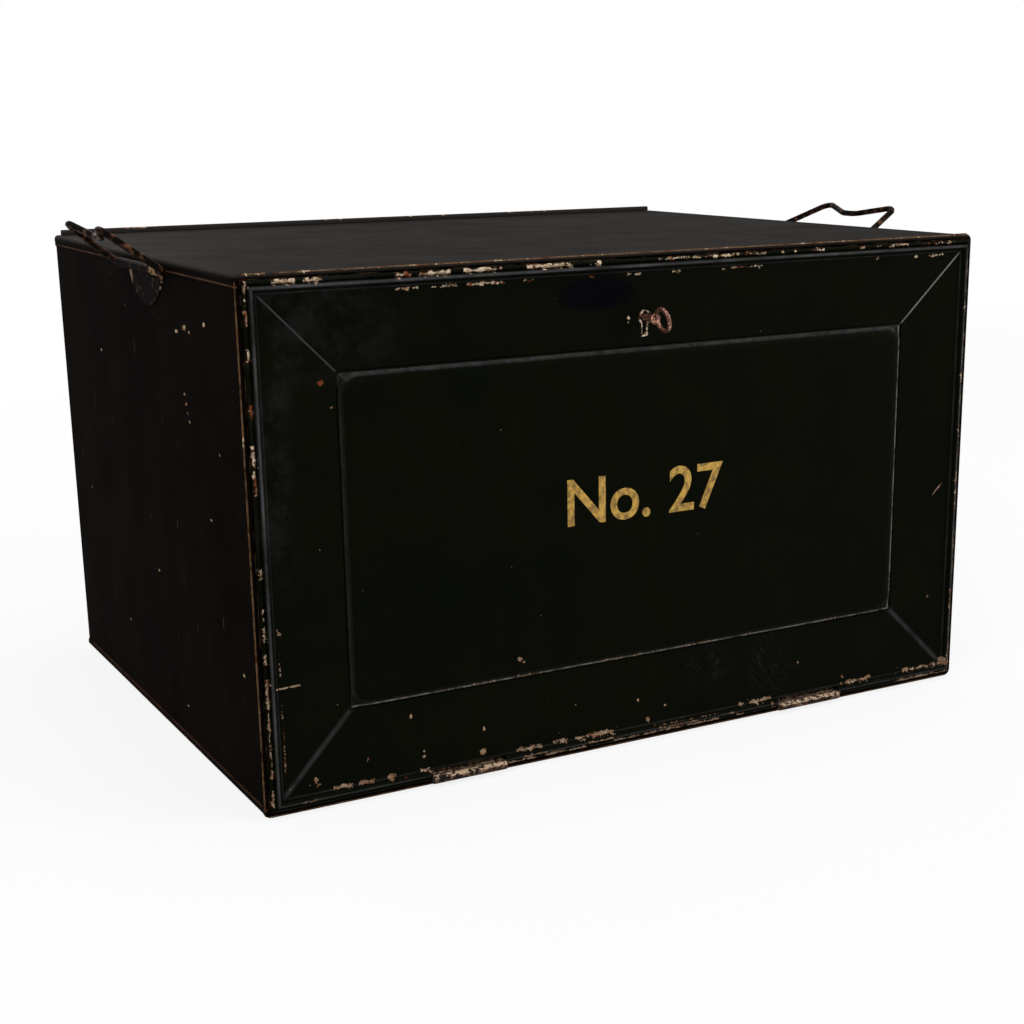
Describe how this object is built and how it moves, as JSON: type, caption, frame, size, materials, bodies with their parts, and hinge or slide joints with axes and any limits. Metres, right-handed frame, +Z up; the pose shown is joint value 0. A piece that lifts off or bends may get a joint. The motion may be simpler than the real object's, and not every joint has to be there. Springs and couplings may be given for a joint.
{
  "type": "deed box",
  "caption": "Black japanned tinplate deed box with a fall-front door framed in mitred mouldings, knuckled bottom hinges, keyed bolt lock and wire bail handles on its sides.",
  "frame": {"origin": "on the floor under the middle of the case's footprint, over its rolled edges", "axes": "+X right along the case's width, -Y out of the door, +Z up"},
  "size_m": [0.6677, 0.4806, 0.3723],
  "materials": {
    "case_japan": "brown-black japanned tinplate, satin, rubbed to tin and brown primer along the edges",
    "door_japan": "black japanned tinplate, satin, chipped to tin on the mouldings",
    "plate_japan": "black japanned tinplate worn to cream tin at the edges",
    "tinned_hinge": "dull worn tin with remains of black japan",
    "iron_wire": "dull drawn iron",
    "handle_iron": "black japanned iron wire, rubbed brown where it is held",
    "lock_iron": "dark oiled iron",
    "spring_steel": "blued spring steel",
    "key_iron": "brown worn iron key"
  },
  "bodies": {
    "case": {"top_sheet": "case_japan", "bottom_sheet": "case_japan", "side_sheet_left": "case_japan", "side_sheet_right": "case_japan", "back_sheet": "case_japan", "front_edge_wire": "iron_wire", "keeper_plate": "lock_iron", "handle_plate_left": "plate_japan", "handle_plate_right": "plate_japan", "hinge_leaf_fixed_left": "tinned_hinge", "hinge_leaf_fixed_right": "tinned_hinge", "hinge_pin_left": "iron_wire", "hinge_pin_right": "iron_wire"},
    "door": {"door_rail_top": "door_japan", "door_rail_bottom": "door_japan", "door_stile_left": "door_japan", "door_stile_right": "door_japan", "door_panel": "door_japan", "hinge_leaf_door_left": "tinned_hinge", "hinge_leaf_door_right": "tinned_hinge", "lock_case": "lock_iron", "lock_cap": "lock_iron", "lock_stump": "iron_wire", "lock_spring": "spring_steel", "lock_rivets": "iron_wire"},
    "lock_bolt": {"lock_bolt": "lock_iron"},
    "key": {"key": "key_iron"},
    "handle_left": {"handle_left": "handle_iron"},
    "handle_right": {"handle_right": "handle_iron"}
  },
  "joints": [
    {"name": "door_fall", "type": "hinge", "parent": "case", "child": "door", "pos_m": [0, -0.2297, 0.006], "axis": [1, 0, 0], "range_deg": [0, 85]},
    {"name": "key_turn", "type": "hinge", "parent": "door", "child": "key", "pos_m": [0, -0.225, 0.3056], "axis": [0, -1, 0], "range_deg": [-12.6, 77.4]},
    {"name": "bolt_slide", "type": "slide", "parent": "door", "child": "lock_bolt", "axis": [0, 0, 1], "range_m": [-0.0013, 0.008]},
    {"name": "handle_swing_left", "type": "hinge", "parent": "case", "child": "handle_left", "pos_m": [-0.2927, -0.036, 0.3418], "axis": [0, 1, 0], "range_deg": [-128, 52]},
    {"name": "handle_swing_right", "type": "hinge", "parent": "case", "child": "handle_right", "pos_m": [0.2927, -0.036, 0.3418], "axis": [0, -1, 0], "range_deg": [-114, 66]}
  ],
  "couplings": [
    {"joint": "key_turn", "follows": "bolt_slide", "rad_per_m": 168.86}
  ]
}
